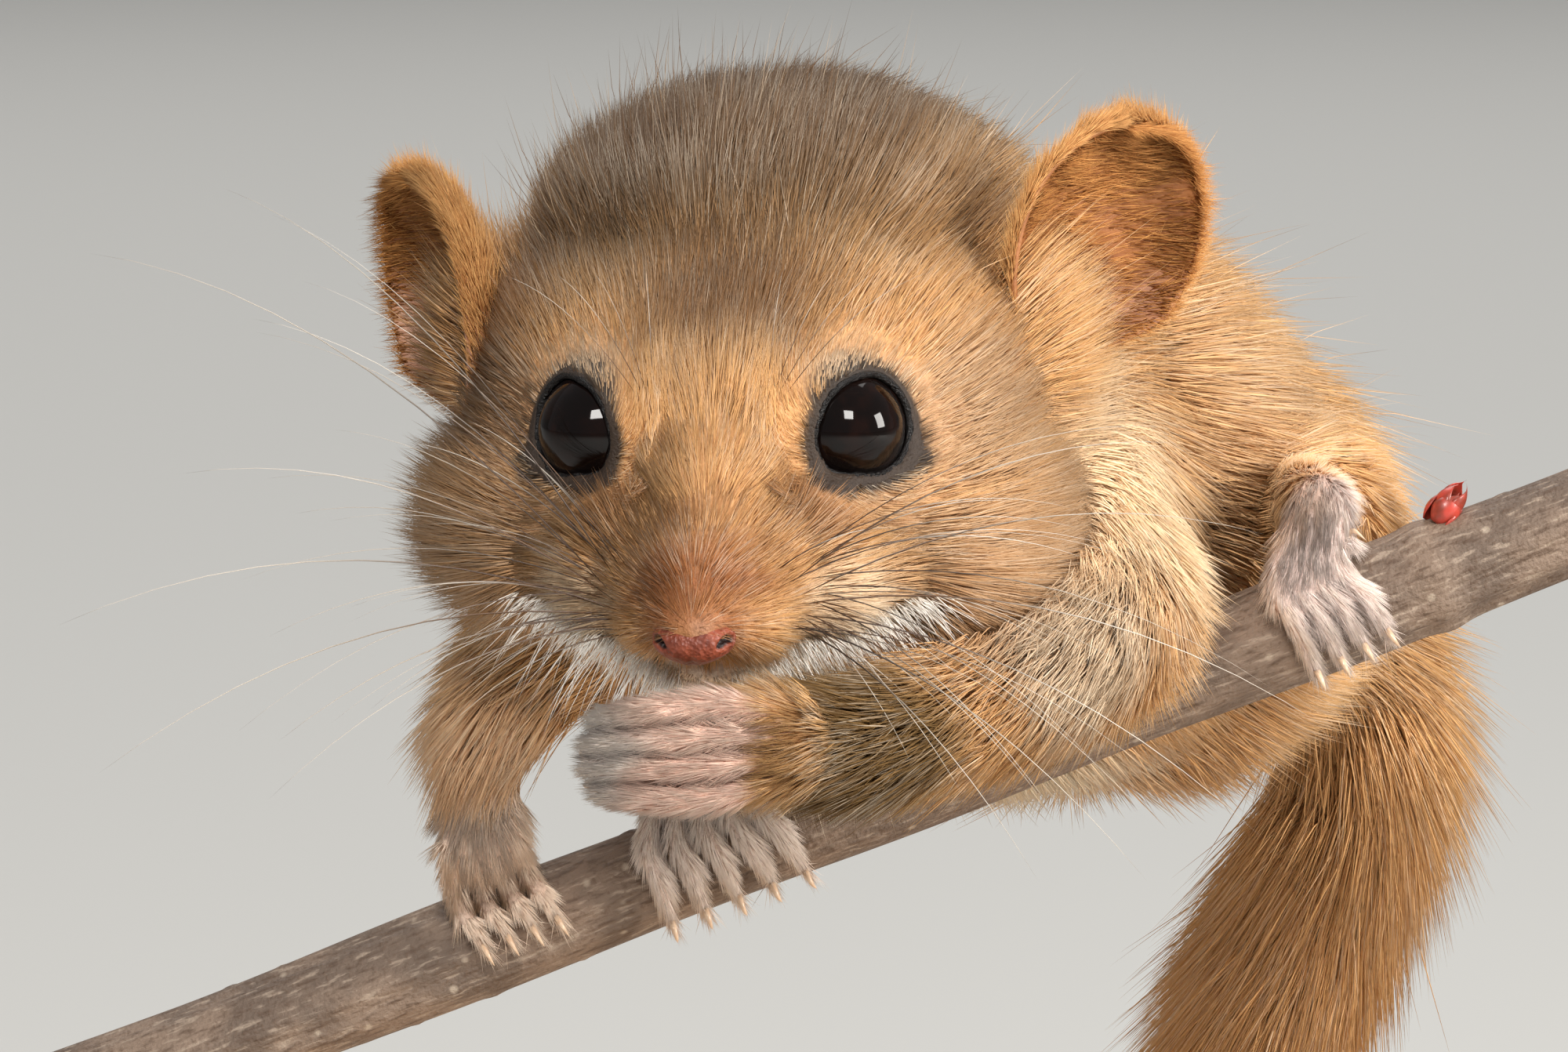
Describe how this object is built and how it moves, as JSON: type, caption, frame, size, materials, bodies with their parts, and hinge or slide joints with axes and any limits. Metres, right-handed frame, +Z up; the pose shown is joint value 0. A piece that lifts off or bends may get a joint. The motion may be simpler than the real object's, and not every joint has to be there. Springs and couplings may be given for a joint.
{
  "type": "hazel dormouse model on a twig and display stand",
  "caption": "Life-size still model of a hazel dormouse crouched on a cut twig, one hand raised to its mouth, on a flat stand with two rods.",
  "frame": {"origin": "centre of the stand base's underside", "axes": "+Z up, -Y the way the animal faces, +X its left side and the higher end of the twig"},
  "size_m": [0.088, 0.072, 0.086],
  "materials": {
    "coat": "soft golden-brown fur, cream underneath",
    "ear_skin": "short orange fur over thin skin",
    "paw_skin": "pink skin under thin pale hair",
    "eye": "wet black",
    "bark": "smooth grey-brown bark with pale pores",
    "beech": "oiled",
    "steel": "satin"
  },
  "bodies": {
    "root": {"head": "coat", "neck": "coat", "torso": "coat", "ear_left": "ear_skin", "ear_right": "ear_skin", "eye_left": "eye", "eye_right": "eye", "foreleg_left": "coat", "foreleg_right": "coat", "forepaw_left": "paw_skin", "forepaw_right": "paw_skin", "hindleg_left": "coat", "hindleg_right": "coat", "hindfoot_left": "paw_skin", "hindfoot_right": "paw_skin", "tail": "coat", "perch_twig": "bark", "stand_base": "beech", "stand_rod_left": "steel", "stand_rod_right": "steel"}
  },
  "joints": []
}
